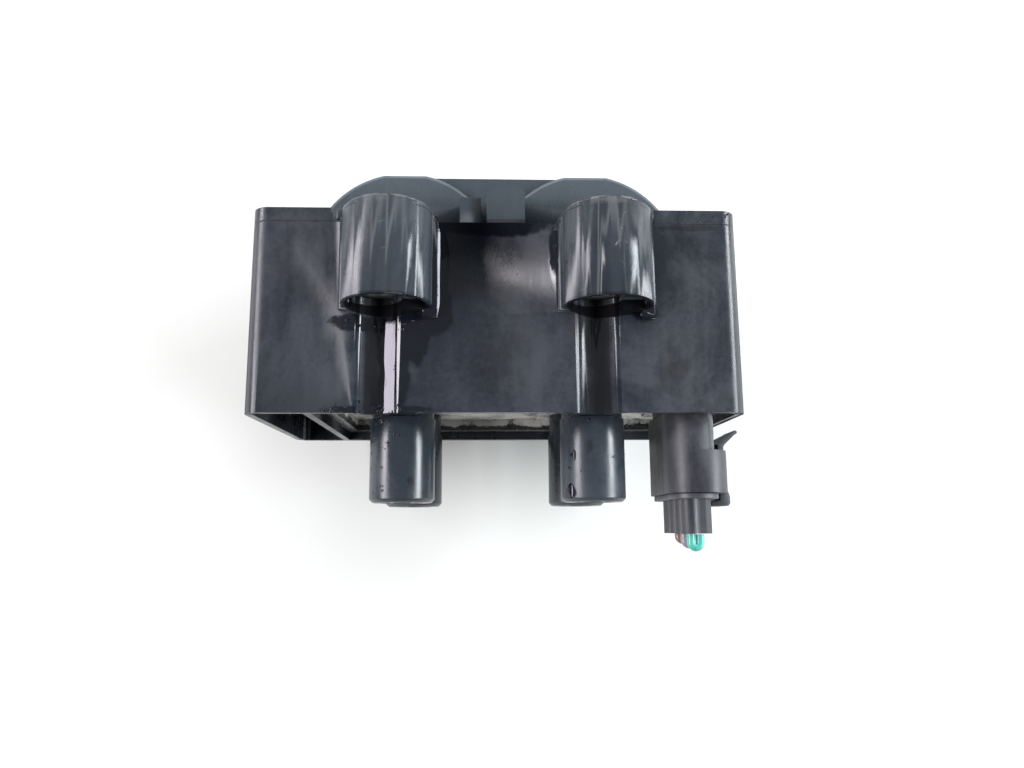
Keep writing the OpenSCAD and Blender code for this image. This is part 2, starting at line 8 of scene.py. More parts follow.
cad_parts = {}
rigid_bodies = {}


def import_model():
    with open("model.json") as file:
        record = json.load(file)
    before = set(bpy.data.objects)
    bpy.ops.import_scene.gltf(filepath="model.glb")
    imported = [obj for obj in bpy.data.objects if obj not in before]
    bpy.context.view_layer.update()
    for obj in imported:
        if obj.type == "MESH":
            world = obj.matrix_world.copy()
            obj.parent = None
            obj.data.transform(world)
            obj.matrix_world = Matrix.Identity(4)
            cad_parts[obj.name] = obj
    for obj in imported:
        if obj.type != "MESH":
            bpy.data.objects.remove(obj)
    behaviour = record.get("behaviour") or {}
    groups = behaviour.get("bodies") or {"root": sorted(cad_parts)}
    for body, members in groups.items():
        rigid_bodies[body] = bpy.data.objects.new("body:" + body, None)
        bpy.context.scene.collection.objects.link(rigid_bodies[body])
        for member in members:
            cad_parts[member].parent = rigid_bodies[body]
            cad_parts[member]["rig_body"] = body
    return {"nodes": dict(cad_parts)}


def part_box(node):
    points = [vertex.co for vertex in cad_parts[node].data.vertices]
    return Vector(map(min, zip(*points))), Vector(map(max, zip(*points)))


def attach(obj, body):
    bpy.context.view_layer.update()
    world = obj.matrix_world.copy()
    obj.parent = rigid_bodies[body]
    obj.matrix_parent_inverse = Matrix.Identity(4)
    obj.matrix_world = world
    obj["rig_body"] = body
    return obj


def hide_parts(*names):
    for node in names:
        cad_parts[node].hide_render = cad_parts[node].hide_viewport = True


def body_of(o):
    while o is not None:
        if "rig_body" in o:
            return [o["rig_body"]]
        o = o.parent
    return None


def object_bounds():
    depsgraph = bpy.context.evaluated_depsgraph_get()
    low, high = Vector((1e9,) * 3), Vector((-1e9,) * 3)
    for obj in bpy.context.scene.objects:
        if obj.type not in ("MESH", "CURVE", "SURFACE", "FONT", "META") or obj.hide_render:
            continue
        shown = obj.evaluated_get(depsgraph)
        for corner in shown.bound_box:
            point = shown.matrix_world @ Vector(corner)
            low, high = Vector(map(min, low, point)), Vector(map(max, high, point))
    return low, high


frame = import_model()
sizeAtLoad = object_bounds()
scene = bpy.context.scene
nodes = frame["nodes"]
mm = 0.001


# Camera, floor and light

def makeCamera():
    camera = bpy.data.objects.new("camera", bpy.data.cameras.new("camera"))
    scene.collection.objects.link(camera)
    camera.data.sensor_width = 36
    camera.data.lens = 28.34
    camera.data.clip_start = 0.01
    camera.location = (-0.001666, -0.070565, 0.204756)
    camera.rotation_mode = "ZYX"
    camera.rotation_euler = [math.radians(a) for a in (10.07, -2.22, 0.03)]
    scene.camera = camera


def addNode(tree, kind, fields=None, **settings):
    made = tree.nodes.new(kind)
    for key, value in settings.items():
        setattr(made, key, value)
    for key, value in (fields or {}).items():
        if isinstance(value, bpy.types.NodeSocket):
            tree.links.new(value, made.inputs[key])
        else:
            made.inputs[key].default_value = value
    return made


def makeLamp(name, place, aim, width, height, power, tint):
    data = bpy.data.lights.new(name, "AREA")
    data.shape = "RECTANGLE"
    data.size = width
    data.size_y = height
    data.energy = power
    data.color = tint
    lamp = bpy.data.objects.new(name, data)
    scene.collection.objects.link(lamp)
    lamp.location = place
    lamp.rotation_euler = (Vector(aim) - Vector(place)).to_track_quat("-Z", "Y").to_euler()


def makeStage():
    lowest = sizeAtLoad[0].z
    bm = bmesh.new()
    bmesh.ops.create_grid(bm, x_segments=2, y_segments=2, size=3.0)
    bmesh.ops.translate(bm, vec=(0, 0, lowest), verts=bm.verts)
    mesh = bpy.data.meshes.new("floor")
    bm.to_mesh(mesh)
    bm.free()
    floor = bpy.data.objects.new("floor", mesh)
    scene.collection.objects.link(floor)
    paper = bpy.data.materials.new("floor_paper")
    paper.use_nodes = True
    shader = paper.node_tree.nodes["Principled BSDF"]
    shader.inputs["Base Color"].default_value = (0.64, 0.648, 0.612, 1)
    shader.inputs["Roughness"].default_value = 0.7
    shader.inputs["Specular IOR Level"].default_value = 0.2
    mesh.materials.append(paper)

    world = bpy.data.worlds.new("studio")
    scene.world = world
    world.use_nodes = True
    sky = world.node_tree.nodes["Background"]
    sky.inputs["Color"].default_value = (0.93, 0.96, 1.0, 1)
    sky.inputs["Strength"].default_value = 0.30
    # Two low softboxes beside the object and a wide one behind its base
    makeLamp("softbox_left", (-0.58, -0.04, 0.34), (0, 0, 0), 0.8, 0.17, 7.6, (0.98, 0.94, 1.0))
    makeLamp("softbox_right", (0.56, -0.04, 0.30), (0, 0, 0), 0.8, 0.17, 9.2, (0.90, 0.95, 1.0))
    makeLamp("softbox_back", (0, 0.75, 0.55), (0, 0, 0), 1.3, 0.5, 4.4, (0.95, 0.98, 1.0))
    scene.view_settings.view_transform = "Standard"
    scene.view_settings.look = "None"


# Shader groups shared by the materials. Each gives colours, masks and heights only

def newGroup(name, inputs, outputs):
    tree = bpy.data.node_groups.new(name, "ShaderNodeTree")
    for label, kind, value in inputs:
        socket = tree.interface.new_socket(label, in_out="INPUT", socket_type="NodeSocket" + kind)
        if value is not None:
            socket.default_value = value
    for label, kind in outputs:
        tree.interface.new_socket(label, in_out="OUTPUT", socket_type="NodeSocket" + kind)
    return tree, addNode(tree, "NodeGroupInput").outputs, addNode(tree, "NodeGroupOutput").inputs


def calc(tree, operation, first, second=0.0, third=0.0, clampIt=False):
    made = addNode(tree, "ShaderNodeMath", {0: first, 1: second, 2: third}, operation=operation,
                   use_clamp=clampIt)
    return made.outputs[0]


def fade(tree, value, low, high, toLow=0.0, toHigh=1.0):
    made = addNode(tree, "ShaderNodeMapRange",
                   {"Value": value, "From Min": low, "From Max": high, "To Min": toLow, "To Max": toHigh},
                   interpolation_type="SMOOTHSTEP")
    return made.outputs[0]


def mixTones(tree, factor, first, second):
    made = addNode(tree, "ShaderNodeMix", {0: factor, 6: first, 7: second}, data_type="RGBA",
                   blend_type="MIX")
    return made.outputs[2]


def cloudy(tree, vector, scale, detail=3.0, rough=0.55, warp=0.0):
    made = addNode(tree, "ShaderNodeTexNoise",
                   {"Vector": vector, "Scale": scale, "Detail": detail, "Roughness": rough, "Distortion": warp})
    return made.outputs[0]


def stretched(tree, vector, factors):
    made = addNode(tree, "ShaderNodeVectorMath", {0: vector, 1: factors}, operation="MULTIPLY")
    return made.outputs[0]


def makePlasticGroup():
    tree, given, result = newGroup(
        "moulded_plastic",
        [("Vector", "Vector", None), ("Color", "Color", (0.03, 0.035, 0.045, 1)), ("Dust", "Float", 0.3),
         ("Stain", "Float", 0.3), ("Rough", "Float", 0.42), ("Grain", "Float", 1.0)],
        [("Color", "Color"), ("Roughness", "Float"), ("Height", "Float")])
    vector = given["Vector"]
    wide = cloudy(tree, vector, 38, 4, 0.6, 0.6)
    fine = cloudy(tree, vector, 900, 4, 0.65)
    grain = cloudy(tree, vector, 5200, 2, 0.5)
    specks = addNode(tree, "ShaderNodeTexVoronoi", {"Vector": vector, "Scale": 520.0}).outputs[0]
    dustMask = calc(tree, "MULTIPLY", fade(tree, calc(tree, "MULTIPLY_ADD", fine, 0.35, wide), 0.55, 0.85),
                    given["Dust"])
    lint = calc(tree, "MULTIPLY", fade(tree, specks, 0.16, 0.05), fade(tree, fine, 0.52, 0.66))
    dustMask = calc(tree, "MAXIMUM", dustMask, calc(tree, "MULTIPLY", lint, given["Dust"]))
    stains = cloudy(tree, vector, 64, 5, 0.6, 1.2)
    stainMask = calc(tree, "MULTIPLY", fade(tree, stains, 0.52, 0.72), given["Stain"])
    streaks = cloudy(tree, stretched(tree, vector, (1.0, 0.12, 1.0)), 420, 3, 0.6)
    paler = addNode(tree, "ShaderNodeVectorMath", {0: given["Color"], "Scale": 2.3}, operation="SCALE").outputs[0]
    tone = mixTones(tree, fade(tree, wide, 0.3, 0.75, 0.0, 0.5), given["Color"], paler)
    tone = mixTones(tree, dustMask, tone, (0.10, 0.105, 0.108, 1))
    tone = mixTones(tree, stainMask, tone, (0.028, 0.022, 0.019, 1))
    tree.links.new(tone, result["Color"])
    rough = calc(tree, "ADD", given["Rough"], fade(tree, wide, 0.3, 0.75, -0.06, 0.08))
    rough = calc(tree, "ADD", rough, calc(tree, "MULTIPLY", dustMask, 0.3))
    rough = calc(tree, "ADD", rough, fade(tree, streaks, 0.35, 0.7, -0.04, 0.05), clampIt=True)
    tree.links.new(rough, result["Roughness"])
    height = calc(tree, "MULTIPLY_ADD", calc(tree, "SUBTRACT", grain, 0.5),
                  calc(tree, "MULTIPLY", given["Grain"], 0.55), calc(tree, "MULTIPLY", fine, 0.35))
    height = calc(tree, "MULTIPLY_ADD", wide, 0.9, height)
    tree.links.new(height, result["Height"])
    return tree


def makeSpotGroup():
    # A soft ragged patch round a centre, for wet and dusty places, spots, and patches of painted shade
    tree, given, result = newGroup(
        "ragged_patch",
        [("Vector", "Vector", None), ("Centre", "Vector", (0, 0, 0)), ("Reach", "Vector", (0.01, 0.01, 0.01)),
         ("Ragged", "Float", 0.5), ("Edge", "Float", 0.3)],
        [("Mask", "Float")])
    offset = addNode(tree, "ShaderNodeVectorMath", {0: given["Vector"], 1: given["Centre"]},
                     operation="SUBTRACT").outputs[0]
    ratio = addNode(tree, "ShaderNodeVectorMath", {0: offset, 1: given["Reach"]}, operation="DIVIDE").outputs[0]
    length = addNode(tree, "ShaderNodeVectorMath", {0: ratio}, operation="LENGTH").outputs["Value"]
    wobble = calc(tree, "SUBTRACT", cloudy(tree, given["Vector"], 160, 4, 0.6, 0.8), 0.5)
    length = calc(tree, "MULTIPLY_ADD", wobble, calc(tree, "MULTIPLY", given["Ragged"], 2.4), length)
    inner = calc(tree, "SUBTRACT", 1.0, given["Edge"])
    tree.links.new(fade(tree, length, 1.0, inner), result["Mask"])
    return tree


def makeScratchGroup():
    # Fine pale scratches that run across each other
    tree, given, result = newGroup(
        "fine_scratches",
        [("Vector", "Vector", None), ("Amount", "Float", 0.5)],
        [("Mask", "Float")])
    total = None
    for turn, scale in ((0.6, 330.0), (2.2, 410.0), (1.3, 260.0)):
        turned = addNode(tree, "ShaderNodeVectorRotate", {"Vector": given["Vector"], "Angle": turn},
                         rotation_type="Z_AXIS").outputs[0]
        lines = cloudy(tree, stretched(tree, turned, (1.0, 0.035, 1.0)), scale * 6, 2, 0.5)
        gate = cloudy(tree, given["Vector"], scale, 2, 0.5)
        one = calc(tree, "MULTIPLY", fade(tree, lines, 0.66, 0.72), fade(tree, gate, 0.55, 0.65))
        total = one if total is None else calc(tree, "MAXIMUM", total, one)
    tree.links.new(calc(tree, "MULTIPLY", total, given["Amount"]), result["Mask"])
    return tree


def makeInsideGroup():
    # 1 inside a box, fading over a short way at its sides
    tree, given, result = newGroup(
        "inside_box",
        [("Vector", "Vector", None), ("Centre", "Vector", (0, 0, 0)), ("Half", "Vector", (0.01, 0.01, 0.01)),
         ("Fade", "Float", 0.0003)],
        [("Mask", "Float")])
    offset = addNode(tree, "ShaderNodeVectorMath", {0: given["Vector"], 1: given["Centre"]},
                     operation="SUBTRACT").outputs[0]
    size = addNode(tree, "ShaderNodeVectorMath", {0: offset}, operation="ABSOLUTE").outputs[0]
    depth = addNode(tree, "ShaderNodeVectorMath", {0: given["Half"], 1: size}, operation="SUBTRACT").outputs[0]
    split = addNode(tree, "ShaderNodeSeparateXYZ", {0: depth}).outputs
    least = calc(tree, "MINIMUM", split["X"], calc(tree, "MINIMUM", split["Y"], split["Z"]))
    tree.links.new(fade(tree, least, 0.0, given["Fade"]), result["Mask"])
    return tree


def makeMetalGroup():
    tree, given, result = newGroup(
        "worked_metal",
        [("Vector", "Vector", None), ("Color", "Color", (0.5, 0.5, 0.5, 1)), ("Rough", "Float", 0.35),
         ("Sheet", "Float", 0.0), ("Tarnish", "Float", 0.4)],
        [("Color", "Color"), ("Roughness", "Float"), ("Height", "Float")])
    vector = given["Vector"]
    drawn = cloudy(tree, stretched(tree, vector, (1.0, 0.06, 1.0)), 2600, 3, 0.6)
    blotch = cloudy(tree, vector, 210, 4, 0.6, 0.7)
    split = addNode(tree, "ShaderNodeSeparateXYZ", {0: vector}).outputs
    layers = addNode(tree, "ShaderNodeMath", {0: split["Y"], 1: 0.0005}, operation="PINGPONG").outputs[0]
    seams = calc(tree, "MULTIPLY", fade(tree, layers, 0.00009, 0.00002), given["Sheet"])
    dull = calc(tree, "MULTIPLY", fade(tree, blotch, 0.45, 0.7), given["Tarnish"])
    tone = mixTones(tree, dull, given["Color"], (0.16, 0.12, 0.085, 1))
    tone = mixTones(tree, seams, tone, (0.05, 0.045, 0.04, 1))
    tree.links.new(tone, result["Color"])
    rough = calc(tree, "MULTIPLY_ADD", dull, 0.3,
                 calc(tree, "ADD", given["Rough"], fade(tree, drawn, 0.3, 0.7, -0.06, 0.1)))
    tree.links.new(rough, result["Roughness"])
    tree.links.new(calc(tree, "MULTIPLY_ADD", seams, -1.0, calc(tree, "MULTIPLY", drawn, 0.3)), result["Height"])
    return tree


def makeTurnsGroup():
    # Turns of wire round an axis along Z
    tree, given, result = newGroup(
        "wound_turns",
        [("Vector", "Vector", None), ("Color", "Color", (0.4, 0.12, 0.04, 1)), ("Pitch", "Float", 0.0006)],
        [("Color", "Color"), ("Roughness", "Float"), ("Height", "Float")])
    split = addNode(tree, "ShaderNodeSeparateXYZ", {0: given["Vector"]}).outputs
    turn = addNode(tree, "ShaderNodeMath", {0: split["Z"], 1: given["Pitch"]}, operation="PINGPONG").outputs[0]
    turn = calc(tree, "DIVIDE", turn, given["Pitch"])
    crown = calc(tree, "SINE", calc(tree, "MULTIPLY", turn, math.pi / 2))
    shade = cloudy(tree, given["Vector"], 300, 3, 0.6, 0.5)
    tone = mixTones(tree, fade(tree, crown, 0.0, 0.55, 0.85, 0.0), given["Color"], (0.03, 0.012, 0.006, 1))
    tone = mixTones(tree, fade(tree, shade, 0.4, 0.75, 0.0, 0.35), tone, (0.55, 0.24, 0.1, 1))
    tree.links.new(tone, result["Color"])
    tree.links.new(fade(tree, shade, 0.3, 0.7, 0.22, 0.4), result["Roughness"])
    tree.links.new(crown, result["Height"])
    return tree


plastic = makePlasticGroup()
patch = makeSpotGroup()
scratches = makeScratchGroup()
insideBox = makeInsideGroup()
metal = makeMetalGroup()
turns = makeTurnsGroup()


def startMaterial(name):
    material = bpy.data.materials.new(name)
    material.use_nodes = True
    tree = material.node_tree
    shader = tree.nodes["Principled BSDF"]
    place = addNode(tree, "ShaderNodeTexCoord").outputs["Object"]
    return material, tree, shader, place


def useGroup(tree, group, fields):
    return addNode(tree, "ShaderNodeGroup", fields, node_tree=group).outputs


def addBump(tree, shader, height, depth, strength=1.0):
    bump = addNode(tree, "ShaderNodeBump", {"Height": height, "Distance": depth, "Strength": strength})
    tree.links.new(bump.outputs[0], shader.inputs["Normal"])


def patchMask(tree, place, patches):
    mask = None
    for centre, reach, ragged, edge in patches:
        one = useGroup(tree, patch, {"Vector": place, "Centre": [c * mm for c in centre],
                                     "Reach": [r * mm for r in reach], "Ragged": ragged, "Edge": edge})["Mask"]
        mask = one if mask is None else calc(tree, "MAXIMUM", mask, one)
    return mask


def boxMask(tree, place, centre, half, soft=0.3):
    return useGroup(tree, insideBox, {"Vector": place, "Centre": [c * mm for c in centre],
                                      "Half": [h * mm for h in half], "Fade": soft * mm})["Mask"]


def plasticMaterial(name, tone, dust=0.3, stain=0.3, rough=0.42, grain=1.0, depth=0.00003,
                    wet=None, dusty=None, dark=None, scratched=None, boxes=None, line=None,
                    satin=None, underShade=None):
    # wet to underShade are lists of patches: a centre, its reach, how ragged it is and how soft its edge
    material, tree, shader, place = startMaterial(name)
    base = useGroup(tree, plastic, {"Vector": place, "Color": (*tone, 1), "Dust": dust, "Stain": stain,
                                    "Rough": rough, "Grain": grain})
    colour, roughness, height = base["Color"], base["Roughness"], base["Height"]
    if dusty:
        powder = calc(tree, "MULTIPLY", patchMask(tree, place, dusty),
                      fade(tree, cloudy(tree, place, 1500, 4, 0.7), 0.3, 0.6))
        colour = mixTones(tree, calc(tree, "MULTIPLY", powder, 0.3), colour, (0.28, 0.275, 0.25, 1))
        roughness = calc(tree, "MULTIPLY_ADD", powder, 0.3, roughness)
    # Dark patches: real spots on the towers, painted shade on the case front
    if dark:
        spotsAndPaintedShade = calc(tree, "MULTIPLY", patchMask(tree, place, dark),
                      fade(tree, cloudy(tree, place, 240, 4, 0.6), 0.3, 0.6, 0.5, 1.0))
        colour = mixTones(tree, calc(tree, "MULTIPLY", spotsAndPaintedShade, 0.75), colour, (0.006, 0.006, 0.007, 1))
    if satin:
        sleek = patchMask(tree, place, satin)
        roughness = calc(tree, "MULTIPLY_ADD", sleek, -0.13, roughness, clampIt=True)
    if scratched:
        marks = calc(tree, "MULTIPLY", useGroup(tree, scratches, {"Vector": place, "Amount": 0.55})["Mask"],
                     patchMask(tree, place, scratched))
        colour = mixTones(tree, marks, colour, (0.30, 0.31, 0.33, 1))
        height = calc(tree, "MULTIPLY_ADD", marks, -0.6, height)
    # Each box mixes in a tone: on the case, painted shade inside and painted light on the domes and bosses
    for centre, half, shade, share in boxes or ():
        shut = boxMask(tree, place, centre, half)
        colour = mixTones(tree, calc(tree, "MULTIPLY", shut, share), colour, (*shade, 1))
    if line:
        centre, half = line
        seam = boxMask(tree, place, centre, half, half[1])
        colour = mixTones(tree, calc(tree, "MULTIPLY", seam, 0.8), colour, (0.01, 0.011, 0.013, 1))
        height = calc(tree, "MULTIPLY_ADD", seam, -3.0, height)
    if wet:
        film = patchMask(tree, place, wet)
        colour = mixTones(tree, calc(tree, "MULTIPLY", film, 0.85), colour, (0.0035, 0.004, 0.007, 1))
        roughness = addNode(tree, "ShaderNodeMix", {0: film, 2: roughness, 3: 0.12}).outputs[0]
        height = calc(tree, "MULTIPLY", height, calc(tree, "SUBTRACT", 1.0, calc(tree, "MULTIPLY", film, 0.85)))
    # Painted shade under the bosses: near black, with less reflection
    if underShade:
        underShadeMask = patchMask(tree, place, underShade)
        colour = mixTones(tree, calc(tree, "MULTIPLY", underShadeMask, 0.9), colour, (0.003, 0.003, 0.004, 1))
        roughness = calc(tree, "MULTIPLY_ADD", underShadeMask, 0.35, roughness, clampIt=True)
        tree.links.new(fade(tree, underShadeMask, 0.0, 1.0, 0.5, 0.05), shader.inputs["Specular IOR Level"])
    tree.links.new(colour, shader.inputs["Base Color"])
    tree.links.new(roughness, shader.inputs["Roughness"])
    addBump(tree, shader, height, depth)
    return material


def metalMaterial(name, tone, rough=0.35, sheet=0.0, tarnish=0.4):
    material, tree, shader, place = startMaterial(name)
    base = useGroup(tree, metal, {"Vector": place, "Color": (*tone, 1), "Rough": rough, "Sheet": sheet,
                                  "Tarnish": tarnish})
    shader.inputs["Metallic"].default_value = 1.0
    tree.links.new(base["Color"], shader.inputs["Base Color"])
    tree.links.new(base["Roughness"], shader.inputs["Roughness"])
    addBump(tree, shader, base["Height"], 0.00003)
    return material


def woundMaterial(name, tone, pitch):
    material, tree, shader, place = startMaterial(name)
    base = useGroup(tree, turns, {"Vector": place, "Color": (*tone, 1), "Pitch": pitch})
    tree.links.new(base["Color"], shader.inputs["Base Color"])
    tree.links.new(base["Roughness"], shader.inputs["Roughness"])
    shader.inputs["Coat Weight"].default_value = 0.5
    addBump(tree, shader, base["Height"], pitch * 0.5)
    return material


def wireMaterial(name, tone, scuff):
    material, tree, shader, place = startMaterial(name)
    worn = cloudy(tree, place, 700, 4, 0.6, 0.5)
    fine = cloudy(tree, stretched(tree, place, (1.0, 0.25, 1.0)), 2600, 3, 0.6)
    colour = mixTones(tree, fade(tree, worn, 0.5, 0.75, 0.0, scuff), (*tone, 1), (0.05, 0.045, 0.04, 1))
    colour = mixTones(tree, fade(tree, fine, 0.6, 0.75, 0.0, 0.25), colour, (0.35, 0.36, 0.34, 1))
    tree.links.new(colour, shader.inputs["Base Color"])
    tree.links.new(fade(tree, worn, 0.3, 0.7, 0.2, 0.42), shader.inputs["Roughness"])
    shader.inputs["Coat Weight"].default_value = 0.4
    shader.inputs["Coat Roughness"].default_value = 0.1
    addBump(tree, shader, calc(tree, "ADD", worn, fine), 0.00004)
    return material


def resinMaterial():
    material, tree, shader, place = startMaterial("cast_resin_dusty")
    wide = cloudy(tree, place, 130, 5, 0.65, 1.0)
    powder = cloudy(tree, place, 1100, 5, 0.7, 0.4)
    grit = addNode(tree, "ShaderNodeTexVoronoi", {"Vector": place, "Scale": 560.0}).outputs[0]
    split = addNode(tree, "ShaderNodeSeparateXYZ", {0: place}).outputs
    ragged = calc(tree, "MULTIPLY_ADD", calc(tree, "SUBTRACT", wide, 0.5), 0.004, split["Y"])
    low = fade(tree, ragged, -0.0420, -0.0414)
    deposit = calc(tree, "MULTIPLY", fade(tree, calc(tree, "MULTIPLY_ADD", powder, 0.5, wide), 0.52, 0.80), low)
    ledge = fade(tree, split["Y"], -0.04312, -0.04324)
    flecks = calc(tree, "MULTIPLY", fade(tree, powder, 0.63, 0.70), 0.8)
    base = mixTones(tree, fade(tree, wide, 0.35, 0.7), (0.010, 0.010, 0.012, 1), (0.035, 0.034, 0.032, 1))
    base = mixTones(tree, flecks, base, (0.40, 0.40, 0.38, 1))
    colour = mixTones(tree, deposit, base, (0.46, 0.455, 0.42, 1))
    specks = calc(tree, "MULTIPLY", fade(tree, grit, 0.24, 0.12), fade(tree, powder, 0.44, 0.56))
    colour = mixTones(tree, calc(tree, "MULTIPLY", specks, 0.85), colour, (0.012, 0.012, 0.012, 1))
    colour = mixTones(tree, calc(tree, "MULTIPLY", ledge, 0.55), colour, (0.22, 0.225, 0.225, 1))
    tree.links.new(colour, shader.inputs["Base Color"])
    tree.links.new(fade(tree, deposit, 0.0, 0.7, 0.10, 0.85), shader.inputs["Roughness"])
    addBump(tree, shader, calc(tree, "MULTIPLY_ADD", powder, 0.5, deposit), 0.00018)
    return material


def oilMaterial():
    # Thin dark oil with small ripples and a little dirt in it
    material, tree, shader, place = startMaterial("oil_film_wet")
    ripple = cloudy(tree, place, 260, 3, 0.5, 0.6)
    grit = addNode(tree, "ShaderNodeTexVoronoi", {"Vector": place, "Scale": 420.0}).outputs[0]
    dirt = fade(tree, grit, 0.10, 0.04)
    colour = mixTones(tree, ripple, (0.004, 0.0045, 0.008, 1), (0.010, 0.010, 0.016, 1))
    colour = mixTones(tree, dirt, colour, (0.03, 0.024, 0.018, 1))
    tree.links.new(colour, shader.inputs["Base Color"])
    tree.links.new(fade(tree, dirt, 0.0, 1.0, 0.14, 0.4), shader.inputs["Roughness"])
    shader.inputs["Specular IOR Level"].default_value = 0.42
    shader.inputs["Specular Tint"].default_value = (0.93, 0.90, 1.0, 1)
    addBump(tree, shader, calc(tree, "MULTIPLY_ADD", dirt, 0.4, ripple), 0.00012, 0.5)
    return material


# Materials, each for the CAD nodes that it belongs to

makeCamera()
makeStage()
print("stage ready")

darkGrey = (0.0105, 0.0135, 0.0195)
wetPlaces = [
    ((-11.4, -12.5, 29.5), (2.6, 16.0, 3.0), 0.22, 0.2),
    ((-11.8, -22.5, 29.5), (4.4, 7.0, 3.0), 0.30, 0.2),
    ((-23.0, -25.4, 31.0), (14.0, 3.0, 7.0), 0.28, 0.2),
    ((-20.9, -35.5, 27.0), (4.4, 14.0, 5.5), 0.30, 0.2),
    ((-16.0, -29.0, 29.2), (3.4, 7.0, 2.0), 0.40, 0.2),
    ((1.0, -2.4, 29.2), (15.0, 3.2, 1.5), 0.25, 0.3),
    ((14.8, -10.0, 30.0), (1.3, 12.0, 3.0), 0.45, 0.5),
    ((-24.0, -45.1, 29.2), (13.0, 1.3, 1.6), 0.45, 0.25),
    ((35.5, -23.4, 31.0), (4.5, 2.6, 3.0), 0.35, 0.3),
]
# Painted shade: patches that darken the case front towards the bottom and middle, with smaller ones at the right
# and on the right boss
paintedShadePlaces = [
    ((2.0, -34.0, 29.5), (9.5, 13.0, 3.0), 0.45, 0.9),
    ((-10.0, -14.0, 29.5), (8.0, 15.0, 3.0), 0.4, 0.7),
    ((42.0, -36.0, 29.5), (6.5, 8.5, 3.0), 0.5, 0.8),
    ((6.0, -12.0, 29.5), (14.0, 12.0, 3.0), 0.5, 1.0),
    ((47.0, -2.7, 29.2), (11.0, 0.9, 1.5), 0.9, 0.7),
    ((24.0, -8.0, 41.0), (3.0, 6.0, 2.0), 0.6, 0.9),
]
dustPlaces = [
    ((-24.0, -1.2, 41.0), (3.5, 1.6, 3.0), 0.7, 0.9),
    ((26.0, -1.2, 41.5), (6.0, 1.2, 3.0), 0.7, 0.9),
]
scratchPlaces = [
    ((29.5, -9.0, 41.0), (4.5, 8.5, 4.0), 0.4, 0.6),
    ((-22.0, -9.0, 41.5), (3.0, 5.0, 3.0), 0.5, 0.6),
    ((33.0, -16.0, 36.0), (3.0, 6.0, 4.0), 0.4, 0.6),
]
satinPlaces = [
    ((24.5, -35.0, 27.5), (7.0, 16.0, 6.0), 0.2, 0.5),
    ((-28.5, -35.0, 28.5), (3.0, 16.0, 5.0), 0.2, 0.5),
    ((-22.5, -12.0, 40.0), (12.0, 16.0, 6.0), 0.3, 0.5),
    ((26.8, -12.0, 40.0), (12.0, 16.0, 6.0), 0.3, 0.5),
]
# Painted shade on the bosses' undersides and in their recesses
paintedShadeUnderBosses = [
    ((-22.5, -22.0, 32.0), (9.9, 2.0, 9.7), 0.10, 0.1),
    ((26.8, -22.0, 32.0), (9.9, 2.0, 9.7), 0.10, 0.1),
    ((-24.65, -22.6, 32.0), (6.6, 3.4, 6.6), 0.10, 0.2),
    ((24.65, -22.6, 32.0), (6.6, 3.0, 6.6), 0.10, 0.2),
]
low, high = (Vector(c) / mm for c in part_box("case"))
wallInside = 1.85
domeHeight = high.y + 1.0
# Painted light: a paler tone on the domes and boss fronts, which catch more light
paintedLitGrey = (0.046, 0.059, 0.070)
domeEndZ = max(abs(v.co.z) for v in nodes["case"].data.vertices if v.co.y > 0.008)
# Boxes of painted tone: painted shade inside the case below the rim, painted light on the domes and the boss
# fronts
caseShadeAndLightBoxes = [
    (((low.x + high.x) / 2, low.y + 20.0, 0.0), ((high.x - low.x) / 2 - wallInside, 24.0, 27.1),
     (0.006, 0.007, 0.009), 0.9),
    (((low.x + high.x) / 2, domeHeight / 2, 0.0), (60.0, domeHeight / 2, 27.0), paintedLitGrey, 0.88),
    ((-22.5, -10.5, 38.0), (11.0, 11.4, 8.0), paintedLitGrey, 0.36),
    ((26.8, -10.5, 38.0), (11.0, 11.4, 8.0), paintedLitGrey, 0.28),
]
baseLine = ((2.0, -1.7, 0.0), (60.0, 0.16, 40.0))

towerSpots = [
    ((-17.3, -60.2, 24.2), (1.0, 1.2, 1.6), 0.3, 0.4),
    ((22.5, -52.5, 24.5), (1.6, 2.2, 1.6), 0.4, 0.5),
    ((-26.8, -52.0, 19.0), (1.2, 3.5, 3.0), 0.5, 0.6),
]
towerWet = [
    ((18.6, -62.9, 21.3), (1.9, 1.6, 2.4), 0.5, 0.3),
    ((19.2, -54.5, 22.4), (0.9, 0.6, 1.2), 0.5, 0.3),
]

